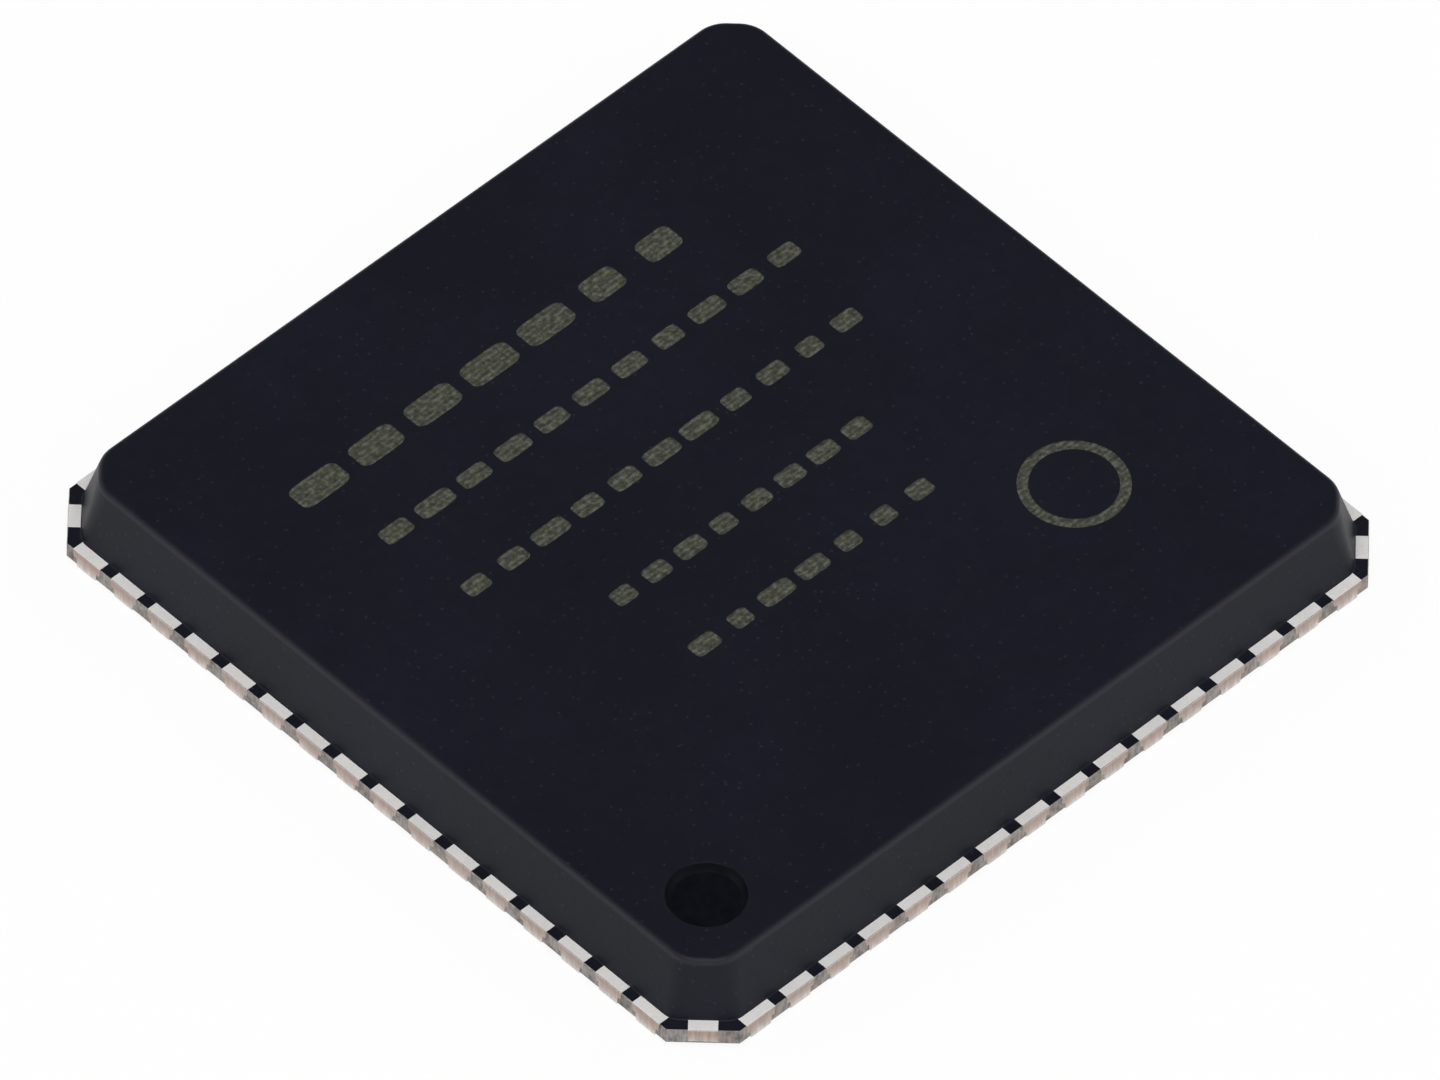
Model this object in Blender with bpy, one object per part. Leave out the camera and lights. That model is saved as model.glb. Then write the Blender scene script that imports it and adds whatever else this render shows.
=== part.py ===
"""Controller chip in a 64-terminal quad flat no-lead package, moulded singly and punched out of its strip.

Metres, +Z up. The origin is the centre of the underside, in the plane of the soldered lands.
+X is the reading direction of the marked face, +Y its upward direction, and the pin-1 dimple is in
the corner towards -X and -Y. Terminals are numbered counter-clockwise from that corner, seen from above.
"""
import math

import bmesh
import bpy
from mathutils import Matrix, Vector

# Terminal rows
TERMINALS_PER_SIDE = 16
TERMINAL_PITCH = 0.00050
ROW_END_MARGIN = 0.00075            # centre of a row's last terminal to the package's side

# Leadframe, etched from one sheet of copper
LEADFRAME_THICKNESS = 0.00020
LAND_STANDOFF = 0.00002             # lands stand this far below the resin's underside
HALF_ETCH_HEIGHT = 0.00010          # from the lands' plane up to the surfaces etched from below
LAND_WIDTH = 0.00025
LAND_LENGTH = 0.00040
TERMINAL_TOP_WIDTH = 0.00036
TERMINAL_TIP_REACH = 0.00016        # half-etched tip, from the land's inner end
ETCH_LEAN = 0.00001                 # how far an etched wall leans over half the sheet
END_TERMINAL_GAP = 0.00010          # trimmed end terminal to tie bar

# Exposed pad and its tie bars
PAD_GAP = 0.00045                   # a land's inner end to the exposed pad
PAD_RIM = 0.00010                   # half-etched rim round the exposed pad
PAD_CORNER_RADIUS = 0.00015
PAD_PIN_ONE_CHAMFER = 0.00035
TIE_BAR_WIDTH = 0.00020
TIE_BAR_END_WIDTH = 0.00029
TIE_BAR_END_LENGTH = 0.00022
TIE_BAR_END_THICKNESS = 0.00016

# Moulded body
CORNER_CHAMFER = 0.00048            # leg of the chamfer across each corner of the package
LEDGE_WIDTH = 0.000125              # package's side to the foot of the cap
CAP_HEIGHT = 0.00065                # above the leadframe
CAP_DRAFT = math.radians(15.6)
CAP_FOOT_CHAMFER = 0.00042          # leg of the chamfer across the cap's corners, at its foot
CAP_TOP_CHAMFER = 0.00028
CAP_FOOT_BLEND_RADIUS = 0.00020     # round between a side and a chamfer of the cap, at its foot
CAP_TOP_BLEND_RADIUS = 0.00038
CAP_EDGE_RADIUS = 0.00006
DIMPLE_DIAMETER = 0.00077
DIMPLE_DEPTH = 0.00008
DIMPLE_INSET = 0.00088              # dimple's centre to the foot of the cap, from both sides
DIMPLE_WALL_LEAN = 0.00003

# Silicon die and the adhesive under it
DIE_WIDTH = 0.00440
DIE_THICKNESS = 0.00025
DIE_ATTACH_THICKNESS = 0.00003
DIE_ATTACH_FILLET_HEIGHT = 0.00010  # how far the adhesive climbs the die's sides
DIE_ATTACH_FILLET_WIDTH = 0.00012
DIE_ATTACH_FILLET_CREST = 0.00002   # width left at the top of the climb

# Gold wires, ball-bonded to the die and stitched to the terminals' tips
WIRE_DIAMETER = 0.000025
WIRE_LOOP_HEIGHT = 0.00014          # crest of the loop above the die
WIRE_CREST_REACH = 0.00004          # crest's distance outwards from the ball
WIRE_SHOULDER_REACH = 0.00080       # end of the nearly level run, from the ball
WIRE_SHOULDER_DROP = 0.00003
BALL_DIAMETER = 0.00006
BALL_HEIGHT = 0.00002
BOND_INSET = 0.00008                # ball's centre to the die's side
BOND_ROW_MARGIN = 0.00025           # centre of a row's last ball to the die's corner
STITCH_INSET = 0.00010              # where the wire ends, from the terminal's inner end

# Fits and fineness
SEAT_CLEARANCE = 0.000003           # resin to metal, adhesive to die, adhesive to pad
CUT_OVERRUN = 0.00005               # how far a cutter reaches past the surface that it opens
LAND_END_STEPS = 4
CORNER_STEPS = 8
BLEND_STEPS = 4
EDGE_STEPS = 3
DIMPLE_STEPS = 32
WIRE_SIDES = 5

# Sizes that follow from the ones above
ROW_LENGTH = (TERMINALS_PER_SIDE - 1) * TERMINAL_PITCH
BODY_HALF = ROW_LENGTH / 2 + ROW_END_MARGIN
CHAMFER_REACH = (2 * BODY_HALF - CORNER_CHAMFER) / math.sqrt(2)
PACKAGE_TOP = LEADFRAME_THICKNESS + CAP_HEIGHT
PAD_HALF = BODY_HALF - LAND_LENGTH - PAD_GAP
RIM_HALF = PAD_HALF + PAD_RIM
DIE_BASE = LEADFRAME_THICKNESS + SEAT_CLEARANCE + DIE_ATTACH_THICKNESS + SEAT_CLEARANCE
DIE_TOP = DIE_BASE + DIE_THICKNESS
TERMINAL_LENGTH = LAND_LENGTH + TERMINAL_TIP_REACH
BOND_PITCH = (DIE_WIDTH - 2 * BOND_ROW_MARGIN) / (TERMINALS_PER_SIDE - 1)

# Colour, roughness and metallic value of each material
FINISHES = {
    "moulding_compound": ((0.012, 0.012, 0.016, 1.0), 0.55, 0.0),
    "tin_plated_copper": ((0.72, 0.70, 0.68, 1.0), 0.32, 1.0),
    "bare_copper": ((0.72, 0.45, 0.34, 1.0), 0.35, 1.0),
    "silver_filled_epoxy": ((0.42, 0.42, 0.42, 1.0), 0.60, 0.3),
    "silicon": ((0.10, 0.11, 0.14, 1.0), 0.18, 0.6),
    "gold": ((0.95, 0.72, 0.30, 1.0), 0.20, 1.0),
}


def clear_scene():
    for item in list(bpy.data.objects):
        bpy.data.objects.remove(item, do_unlink=True)


def make_material(name):
    colour, roughness, metallic = FINISHES[name]
    material = bpy.data.materials.new(name)
    material.use_nodes = True
    material.diffuse_color = colour
    shader = material.node_tree.nodes["Principled BSDF"]
    shader.inputs["Base Color"].default_value = colour
    shader.inputs["Roughness"].default_value = roughness
    shader.inputs["Metallic"].default_value = metallic
    return material


def make_object(name, solid, material):
    """Turns a bmesh into a named object with one material."""
    mesh = bpy.data.meshes.new(name)
    bmesh.ops.recalc_face_normals(solid, faces=solid.faces)
    solid.to_mesh(mesh)
    solid.free()
    mesh.materials.append(material)
    item = bpy.data.objects.new(name, mesh)
    bpy.context.scene.collection.objects.link(item)
    return item


def make_helper(name, solid, material):
    """An object that only shapes others: a cutter, or a form that is joined into a solid."""
    item = make_object(name, solid, material)
    item.hide_render = True
    item.display_type = "WIRE"
    return item


def add_boolean(item, helper, operation):
    modifier = item.modifiers.new(helper.name, "BOOLEAN")
    modifier.operation = operation
    modifier.object = helper
    modifier.solver = "EXACT"
    modifier.material_mode = "TRANSFER"


def loft(rings, solid=None):
    """A closed solid through level rings, all counter-clockwise from above, the lowest first."""
    solid = solid or bmesh.new()
    loops = [[solid.verts.new(point) for point in ring] for ring in rings]
    for lower, upper in zip(loops, loops[1:]):
        for index in range(len(lower)):
            after = (index + 1) % len(lower)
            solid.faces.new((lower[index], lower[after], upper[after], upper[index]))
    solid.faces.new(reversed(loops[0]))
    solid.faces.new(loops[-1])
    return solid


def lifted(outline, z):
    return [(x, y, z) for x, y in outline]


def moved(rings, placement):
    return [[placement @ Vector(point) for point in ring] for ring in rings]


def quarter_turn(side):
    """A whole number of right angles about Z, exact, so that flush faces stay in one plane."""
    angle = side * math.pi / 2
    cosine = round(math.cos(angle))
    sine = round(math.sin(angle))
    return Matrix(((cosine, -sine, 0, 0), (sine, cosine, 0, 0), (0, 0, 1, 0), (0, 0, 0, 1)))


def rounded_square(half, radius, z, steps=CORNER_STEPS):
    """A level square with round corners, counter-clockwise from its +X side."""
    ring = []
    centre = half - radius
    for corner in range(4):
        turn = quarter_turn(corner)
        for step in range(steps + 1):
            angle = math.pi / 2 * step / steps
            point = Vector((centre + radius * math.cos(angle), centre + radius * math.sin(angle), z))
            ring.append(turn @ point)
    return ring


def chamfered_square(half, leg, radius, z):
    """A level square with its corners cut off and both edges of each cut rounded."""
    near = half - radius
    far = half - leg - radius * math.tan(math.pi / 8)
    ring = []
    for corner in range(4):
        turn = quarter_turn(corner)
        for start, x, y in ((0.0, near, far), (math.pi / 4, far, near)):
            for step in range(BLEND_STEPS + 1):
                angle = start + math.pi / 4 * step / BLEND_STEPS
                ring.append(turn @ Vector((x + radius * math.cos(angle), y + radius * math.sin(angle), z)))
    return ring


def disc(radius, z, centre, steps):
    angles = [2 * math.pi * step / steps for step in range(steps)]
    return [(centre[0] + radius * math.cos(a), centre[1] + radius * math.sin(a), z) for a in angles]


def terminal_outline(width, length, outer_end, z):
    """A terminal's level section, from the package's side round its inner end and back.

    The outer end is at y = outer_end, and +Y points into the package.
    """
    radius = width / 2
    points = [(radius, outer_end, z)]
    for step in range(LAND_END_STEPS + 1):
        angle = math.pi * step / LAND_END_STEPS
        points.append((radius * math.cos(angle), length - radius + radius * math.sin(angle), z))
    points.append((-radius, outer_end, z))
    return points


def add_terminal(solid, placement, grow=0.0, overrun=0.0):
    """A terminal from the land up: narrow land, half-etched step, wide top and longer tip.

    grow widens the form all round for its pocket, and overrun carries the pocket out of the resin.
    """
    step = HALF_ETCH_HEIGHT - grow
    levels = (
        (LAND_WIDTH, LAND_LENGTH, -overrun),
        (LAND_WIDTH + 2 * ETCH_LEAN, LAND_LENGTH + ETCH_LEAN, step),
        (TERMINAL_TOP_WIDTH - 2 * ETCH_LEAN, TERMINAL_LENGTH - ETCH_LEAN, step),
        (TERMINAL_TOP_WIDTH, TERMINAL_LENGTH, LEADFRAME_THICKNESS + grow),
    )
    rows = []
    for width, length, z in levels:
        outline = terminal_outline(width + 2 * grow, length + grow, -overrun, z)
        rows.append([solid.verts.new(placement @ Vector(point)) for point in outline])
    for lower, upper in zip(rows, rows[1:]):
        for index in range(len(lower) - 1):
            solid.faces.new((lower[index], lower[index + 1], upper[index + 1], upper[index]))
    solid.faces.new(reversed(rows[0]))
    solid.faces.new(rows[-1])
    punched_end = [row[-1] for row in rows] + [row[0] for row in reversed(rows)]
    solid.faces.new(punched_end)


def wire_stations(sideways, grow):
    """Centre line of a bond wire in its terminal's frame, as points with the radius at each.

    From the squashed ball on the die it rises to the crest, runs nearly level to the shoulder and
    falls to the stitch, whose end lies inside the terminal.
    """
    ball = Vector((sideways, BODY_HALF - DIE_WIDTH / 2 + BOND_INSET, DIE_TOP + SEAT_CLEARANCE))
    stitch = Vector((0.0, TERMINAL_LENGTH - STITCH_INSET, LEADFRAME_THICKNESS - WIRE_DIAMETER))
    outward = Vector((stitch.x - ball.x, stitch.y - ball.y, 0.0)).normalized()
    up = Vector((0.0, 0.0, 1.0))
    crest = ball + up * WIRE_LOOP_HEIGHT + outward * WIRE_CREST_REACH
    shoulder = ball + up * (WIRE_LOOP_HEIGHT - WIRE_SHOULDER_DROP) + outward * WIRE_SHOULDER_REACH
    radius = WIRE_DIAMETER / 2 + grow
    stations = [
        (ball - up * grow, BALL_DIAMETER / 2 + 2 * grow),
        (ball + up * (BALL_HEIGHT + grow), radius),
        (crest, radius),
        (shoulder, radius),
        (stitch, radius),
    ]
    return stations, outward


def add_wire(solid, placement, sideways, grow=0.0):
    """Sweeps a bond wire; sideways is how far its ball lies to the terminal's side."""
    stations, outward = wire_stations(sideways, grow)
    up = Vector((0.0, 0.0, 1.0))
    across = up.cross(outward)
    points = [centre for centre, _ in stations]
    runs = [(after - before).normalized() for before, after in zip(points, points[1:])]
    rings = []
    for index, (centre, radius) in enumerate(stations):
        before = runs[max(index - 1, 0)]
        after = runs[min(index, len(runs) - 1)]
        along = up if index < 2 else (before + after).normalized()
        in_bend = across.cross(along) / along.dot(after)
        ring = []
        for side in range(WIRE_SIDES):
            angle = 2 * math.pi * side / WIRE_SIDES
            ring.append(centre + radius * (math.cos(angle) * in_bend + math.sin(angle) * across))
        rings.append(ring)
    loft(moved(rings, placement), solid)


def terminal_places():
    """Number, placement, offset of the ball on the die and end mark of each terminal.

    They run counter-clockwise from the pin-1 corner.
    """
    middle = (TERMINALS_PER_SIDE - 1) / 2
    for side in range(4):
        for index in range(TERMINALS_PER_SIDE):
            number = side * TERMINALS_PER_SIDE + index + 1
            along = (index - middle) * TERMINAL_PITCH
            sideways = (index - middle) * BOND_PITCH - along
            placement = quarter_turn(side) @ Matrix.Translation((along, -BODY_HALF, 0.0))
            is_end = index in (0, TERMINALS_PER_SIDE - 1)
            yield number, placement, sideways, is_end


def corner_bars(width, inner, outer, low, high):
    """Four bars along the diagonals, between two distances from the centre."""
    solid = bmesh.new()
    section = [(inner, -width / 2), (outer, -width / 2), (outer, width / 2), (inner, width / 2)]
    for side in range(4):
        diagonal = quarter_turn(side) @ Matrix.Rotation(math.pi / 4, 4, "Z")
        loft(moved([lifted(section, low), lifted(section, high)], diagonal), solid)
    return solid


def pad_outline(half, grow=0.0):
    """The exposed pad: three round corners, and a chamfer at the pin-1 corner."""
    half = half + grow
    radius = PAD_CORNER_RADIUS + grow
    cut = PAD_PIN_ONE_CHAMFER + grow * (2 - math.sqrt(2))
    outline = []
    for corner in range(4):
        if corner == 2:
            outline.append((-half, cut - half))
            outline.append((cut - half, -half))
            continue
        turn = quarter_turn(corner)
        for step in range(CORNER_STEPS // 2 + 1):
            angle = math.pi / 2 * step / (CORNER_STEPS // 2)
            reach = half - radius
            point = turn @ Vector((reach + radius * math.cos(angle), reach + radius * math.sin(angle), 0.0))
            outline.append((point.x, point.y))
    return outline


def frame_outline(grow=0.0):
    """The paddle's upper half: the rim's square with a tie bar out of each corner, into its thick end."""
    half = RIM_HALF + grow
    bar = TIE_BAR_WIDTH / 2 + grow
    root = half - bar * math.sqrt(2)
    end = CHAMFER_REACH - TIE_BAR_END_LENGTH / 2
    outline = []
    for corner in range(4):
        turn = quarter_turn(corner)
        diagonal = turn @ Matrix.Rotation(math.pi / 4, 4, "Z")
        points = (
            turn @ Vector((half, root, 0.0)),
            diagonal @ Vector((end, -bar, 0.0)),
            diagonal @ Vector((end, bar, 0.0)),
            turn @ Vector((root, half, 0.0)),
        )
        outline.extend((point.x, point.y) for point in points)
    return outline


def pad_solid(grow=0.0, overrun=0.0):
    """The full-thickness middle of the paddle, whose underside is the exposed pad."""
    middle = (HALF_ETCH_HEIGHT + LEADFRAME_THICKNESS) / 2
    outline = pad_outline(PAD_HALF, grow)
    return loft([lifted(outline, -overrun), lifted(outline, middle)])


def frame_solid(grow=0.0):
    outline = frame_outline(grow)
    return loft([lifted(outline, HALF_ETCH_HEIGHT - grow), lifted(outline, LEADFRAME_THICKNESS + grow)])


def tie_bar_ends(grow=0.0, overrun=0.0):
    """The thicker, wider ends of the tie bars, punched off flush with the package's corners."""
    low = LEADFRAME_THICKNESS - TIE_BAR_END_THICKNESS - grow
    inner = CHAMFER_REACH - TIE_BAR_END_LENGTH - grow
    outer = CHAMFER_REACH + overrun
    return corner_bars(TIE_BAR_END_WIDTH + 2 * grow, inner, outer, low, LEADFRAME_THICKNESS + grow)


def die_attach_solid(grow=0.0):
    """Adhesive under the die and a fillet of it up the die's four sides."""
    base = LEADFRAME_THICKNESS + SEAT_CLEARANCE
    crest = DIE_BASE + DIE_ATTACH_FILLET_HEIGHT
    wall = DIE_WIDTH / 2 + SEAT_CLEARANCE
    foot_half = wall + DIE_ATTACH_FILLET_WIDTH + grow
    crest_half = wall + DIE_ATTACH_FILLET_CREST + grow
    radius = DIE_ATTACH_FILLET_WIDTH
    return loft([
        rounded_square(foot_half, radius, base - grow, CORNER_STEPS // 2),
        rounded_square(foot_half, radius, base + DIE_ATTACH_THICKNESS, CORNER_STEPS // 2),
        rounded_square(crest_half, radius - foot_half + crest_half, crest + grow, CORNER_STEPS // 2),
    ])


def die_solid(grow=0.0, overrun=0.0):
    half = DIE_WIDTH / 2 + grow
    outline = [(half, -half), (half, half), (-half, half), (-half, -half)]
    return loft([lifted(outline, DIE_BASE - grow), lifted(outline, DIE_TOP + grow + overrun)])


def flange_solid():
    """The resin round the leadframe, as wide as the package, with its four corners cut off."""
    side = BODY_HALF
    cut = BODY_HALF - CORNER_CHAMFER
    outline = []
    for corner in range(4):
        turn = quarter_turn(corner)
        for point in (turn @ Vector((side, cut, 0.0)), turn @ Vector((cut, side, 0.0))):
            outline.append((point.x, point.y))
    return loft([lifted(outline, LAND_STANDOFF), lifted(outline, LEADFRAME_THICKNESS)])


def cap_solid():
    """The drafted cap over the leadframe, its top edge rounded and its corners chamfered all the way up."""
    foot_half = BODY_HALF - LEDGE_WIDTH
    centre_height = CAP_HEIGHT - CAP_EDGE_RADIUS
    share = centre_height / CAP_HEIGHT
    wall_half = foot_half - centre_height * math.tan(CAP_DRAFT)
    wall_leg = CAP_FOOT_CHAMFER + share * (CAP_TOP_CHAMFER - CAP_FOOT_CHAMFER)
    wall_radius = CAP_FOOT_BLEND_RADIUS + share * (CAP_TOP_BLEND_RADIUS - CAP_FOOT_BLEND_RADIUS)
    centre_half = wall_half - CAP_EDGE_RADIUS / math.cos(CAP_DRAFT)
    root = (LAND_STANDOFF + LEADFRAME_THICKNESS) / 2
    rings = [
        chamfered_square(foot_half, CAP_FOOT_CHAMFER, CAP_FOOT_BLEND_RADIUS, root),
        chamfered_square(foot_half, CAP_FOOT_CHAMFER, CAP_FOOT_BLEND_RADIUS, LEADFRAME_THICKNESS),
    ]
    for step in range(EDGE_STEPS + 1):
        angle = CAP_DRAFT + (math.pi / 2 - CAP_DRAFT) * step / EDGE_STEPS
        half = centre_half + CAP_EDGE_RADIUS * math.cos(angle)
        inset = wall_half - half
        leg = wall_leg - inset * (2 - math.sqrt(2))
        z = LEADFRAME_THICKNESS + centre_height + CAP_EDGE_RADIUS * math.sin(angle)
        rings.append(chamfered_square(half, leg, wall_radius - inset, z))
    return loft(rings)


def dimple_solid():
    """The shallow round recess beside pin 1."""
    place = -(BODY_HALF - LEDGE_WIDTH - DIMPLE_INSET)
    radius = DIMPLE_DIAMETER / 2
    lean = DIMPLE_WALL_LEAN / DIMPLE_DEPTH
    return loft([
        disc(radius - DIMPLE_WALL_LEAN, PACKAGE_TOP - DIMPLE_DEPTH, (place, place), DIMPLE_STEPS),
        disc(radius + CUT_OVERRUN * lean, PACKAGE_TOP + CUT_OVERRUN, (place, place), DIMPLE_STEPS),
    ])


def build_terminals(metal, gold):
    """Each terminal with the bond wire that is welded to it, but for the two at the ends of a row.

    Those eight are moulded into the body's solid with their wires.
    """
    for number, placement, sideways, is_end in terminal_places():
        if is_end:
            continue
        terminal = bmesh.new()
        add_terminal(terminal, placement)
        wire = bmesh.new()
        add_wire(wire, placement, sideways)
        item = make_object(f"terminal_{number:02d}", terminal, metal)
        add_boolean(item, make_helper(f"wire_form_{number:02d}", wire, gold), "UNION")


def build_paddle(material):
    """Exposed pad, half-etched rim and four tie bars: one piece of the etched sheet."""
    paddle = make_object("die_paddle", frame_solid(), material)
    add_boolean(paddle, make_helper("pad_form", pad_solid(), material), "UNION")
    add_boolean(paddle, make_helper("tie_bar_end_form", tie_bar_ends(), material), "UNION")


def build_die_attach(material):
    attach = make_object("die_attach", die_attach_solid(), material)
    seat = die_solid(grow=SEAT_CLEARANCE, overrun=CUT_OVERRUN)
    add_boolean(attach, make_helper("die_seat_cutter", seat, material), "DIFFERENCE")


def build_end_terminals(material):
    """The eight terminals beside the corners, trimmed clear of the tie bars."""
    solid = bmesh.new()
    for _, placement, _, is_end in terminal_places():
        if is_end:
            add_terminal(solid, placement)
    ends = make_helper("end_terminal_form", solid, material)
    clear_width = TIE_BAR_WIDTH + 2 * END_TERMINAL_GAP
    inner = RIM_HALF * math.sqrt(2)
    trim = corner_bars(clear_width, inner, CHAMFER_REACH, -CUT_OVERRUN, PACKAGE_TOP)
    add_boolean(ends, make_helper("end_terminal_trim", trim, material), "DIFFERENCE")
    return ends


def build_body(resin, metal):
    """Moulding compound: ledge and cap in one, with the eight end terminals moulded into it."""
    body = make_object("mould_body", flange_solid(), resin)
    add_boolean(body, make_helper("cap_form", cap_solid(), resin), "UNION")
    add_boolean(body, build_end_terminals(metal), "UNION")
    pockets = bmesh.new()
    tunnels = bmesh.new()
    for _, placement, sideways, is_end in terminal_places():
        if not is_end:
            add_terminal(pockets, placement, SEAT_CLEARANCE, CUT_OVERRUN)
            add_wire(tunnels, placement, sideways, SEAT_CLEARANCE)
    cutters = {
        "terminal_pockets": pockets,
        "wire_tunnels": tunnels,
        "pad_pocket": pad_solid(SEAT_CLEARANCE, CUT_OVERRUN),
        "frame_pocket": frame_solid(SEAT_CLEARANCE),
        "tie_bar_end_pocket": tie_bar_ends(SEAT_CLEARANCE, CUT_OVERRUN),
        "die_attach_pocket": die_attach_solid(SEAT_CLEARANCE),
        "die_pocket": die_solid(SEAT_CLEARANCE),
        "dimple_cutter": dimple_solid(),
    }
    for name, solid in cutters.items():
        add_boolean(body, make_helper(name, solid, resin), "DIFFERENCE")


def build():
    clear_scene()
    materials = {name: make_material(name) for name in FINISHES}
    build_terminals(materials["tin_plated_copper"], materials["gold"])
    build_paddle(materials["bare_copper"])
    build_die_attach(materials["silver_filled_epoxy"])
    make_object("die", die_solid(), materials["silicon"])
    build_body(materials["moulding_compound"], materials["tin_plated_copper"])


build()
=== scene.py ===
"""Looks of a controller chip in a 64-terminal quad flat no-lead package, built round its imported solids.

Metres, +Z up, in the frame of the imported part: the origin is the centre of the underside, +X is the
reading direction of the marked face and the pin-1 dimple is in the corner towards -X and -Y.
"""

import functools
import math

import bmesh
import bpy
from bpy.props import FloatProperty, FloatVectorProperty, IntProperty, PointerProperty
from mathutils import Matrix, Vector


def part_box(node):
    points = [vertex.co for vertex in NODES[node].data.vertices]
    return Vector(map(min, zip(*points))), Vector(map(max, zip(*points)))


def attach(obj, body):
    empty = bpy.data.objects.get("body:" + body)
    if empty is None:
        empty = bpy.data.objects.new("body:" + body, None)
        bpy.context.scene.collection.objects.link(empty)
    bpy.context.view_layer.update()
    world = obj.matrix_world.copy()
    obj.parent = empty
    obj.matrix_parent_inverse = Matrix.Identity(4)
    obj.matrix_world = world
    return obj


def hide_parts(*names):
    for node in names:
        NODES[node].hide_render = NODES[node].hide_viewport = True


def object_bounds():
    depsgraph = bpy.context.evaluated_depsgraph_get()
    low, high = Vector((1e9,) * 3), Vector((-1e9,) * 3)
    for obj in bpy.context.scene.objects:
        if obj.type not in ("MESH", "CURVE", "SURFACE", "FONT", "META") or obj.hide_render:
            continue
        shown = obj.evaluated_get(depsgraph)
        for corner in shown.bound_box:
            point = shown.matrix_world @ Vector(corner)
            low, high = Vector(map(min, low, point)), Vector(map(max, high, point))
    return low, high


bl_info = {
    "name": "Controller Chip",
    "version": (1, 0, 0),
    "blender": (4, 5, 0),
    "location": "3D View > Sidebar > Chip",
    "description": "Looks of a moulded chip: body, marking, terminals, bond wires, metals and stage",
    "category": "Add Mesh",
}

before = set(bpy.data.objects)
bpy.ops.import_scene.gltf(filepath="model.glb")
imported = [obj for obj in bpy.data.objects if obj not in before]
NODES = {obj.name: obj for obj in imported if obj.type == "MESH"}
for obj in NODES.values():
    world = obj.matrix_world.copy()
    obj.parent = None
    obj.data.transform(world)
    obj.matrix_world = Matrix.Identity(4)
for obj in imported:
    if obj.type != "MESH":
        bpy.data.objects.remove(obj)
CAD_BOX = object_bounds()

PACKAGE_HALF = CAD_BOX[1].x
PACKAGE_TOP = CAD_BOX[1].z
LEADFRAME_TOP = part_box("die_paddle")[1].z
DIE_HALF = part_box("die")[1].x
DIE_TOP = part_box("die")[1].z
CORNER_REACH = max(v.co.x + v.co.y for v in NODES["die_paddle"].data.vertices) / math.sqrt(2)


def linear(code):
    """Linear colour of an sRGB hex value, with full alpha."""
    parts = [int(code[start:start + 2], 16) / 255 for start in (1, 3, 5)]
    return tuple(p / 12.92 if p <= 0.04045 else ((p + 0.055) / 1.055) ** 2.4 for p in parts) + (1.0,)


def per_mm(size):
    """Texture scale at which one feature of a pattern is this many millimetres wide."""
    return 1000 / size


def opaque(shade):
    return tuple(shade) + (1.0,)


def length(name, description, default):
    return FloatProperty(name=name, description=description, default=default, min=0.0, precision=6,
                         unit="LENGTH", subtype="DISTANCE")


def colour(name, description, code):
    return FloatVectorProperty(name=name, description=description, default=linear(code)[:3], size=3,
                               min=0.0, max=1.0, subtype="COLOR")


def slant(name, description, degrees):
    return FloatProperty(name=name, description=description, default=math.radians(degrees),
                         subtype="ANGLE")


class BodySizes(bpy.types.PropertyGroup):
    standoff: length("Stand-off", "Lands' plane to the resin's underside", 0.00002)
    ledge_drop: length("Ledge drop", "Resin ledge below the metal's upper face", 0.000002)
    side_inset: length("Side inset", "Punched resin behind the punched metal", 0.000003)
    cut_edge: length("Cut edge", "Worn edge along the punched sides", 0.000006)
    ledge_width: length("Ledge", "Package's side to the foot of the cap", 0.000125)
    foot_fillet: length("Foot fillet", "Round in the corner between ledge and cap", 0.000018)
    foot_chamfer: length("Foot chamfer", "Leg of the cap's corner chamfer at its foot", 0.00042)
    top_chamfer: length("Top chamfer", "Leg of the cap's corner chamfer at its top", 0.00028)
    foot_blend: length("Foot blend", "Round between side and chamfer at the cap's foot", 0.0002)
    top_blend: length("Top blend", "Round between side and chamfer at the cap's top", 0.00038)
    punch_radius: length("Punch corners", "Round of the punched outline's eight corners", 0.000012)
    edge_radius: length("Top edge", "Round between the cap's walls and its top", 0.00006)
    draft: slant("Draft", "Lean of the cap's walls", 15.6)
    dimple_width: length("Dimple", "Diameter of the pin-1 dimple", 0.00077)
    dimple_depth: length("Dimple depth", "Depth of the pin-1 dimple", 0.00008)
    dimple_lean: length("Dimple wall", "How far the dimple's wall leans", 0.00003)
    dimple_place: length("Dimple place", "Dimple's distance from the centre along X and Y", 0.003495)


class TerminalSizes(bpy.types.PropertyGroup):
    per_side: IntProperty(name="Per side", description="Terminals along each side", default=16, min=2)
    pitch: length("Pitch", "Centre to centre of neighbouring terminals", 0.0005)
    land_width: length("Land width", "Width of the soldered land", 0.00025)
    land_length: length("Land length", "Length of the soldered land", 0.0004)
    top_width: length("Top width", "Width above the half-etched step", 0.00036)
    tip_reach: length("Tip", "Half-etched tip beyond the land", 0.00016)
    step_height: length("Step", "Height of the half-etched step", 0.0001)
    lean: length("Wall lean", "Lean of an etched wall over half the sheet", 0.00001)
    burr: length("Worn edge", "Rounding of the metal's sharp edges", 0.000007)
    corner_gap: length("Corner trim", "Trimmed end terminal to the diagonal", 0.0002)


class WireSizes(bpy.types.PropertyGroup):
    diameter: length("Wire", "Diameter of a bond wire", 0.000025)
    ball_diameter: length("Ball", "Diameter of the squashed ball", 0.00006)
    ball_height: length("Ball height", "Height of the squashed ball", 0.00002)
    edge_inset: length("Ball inset", "Ball's centre to the die's side", 0.00008)
    row_margin: length("Row margin", "Last ball's centre to the die's corner", 0.00025)
    loop_height: length("Loop", "Crest of the loop above the die", 0.00014)
    stitch_inset: length("Stitch", "Stitch's centre to the terminal's tip", 0.0001)


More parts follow.
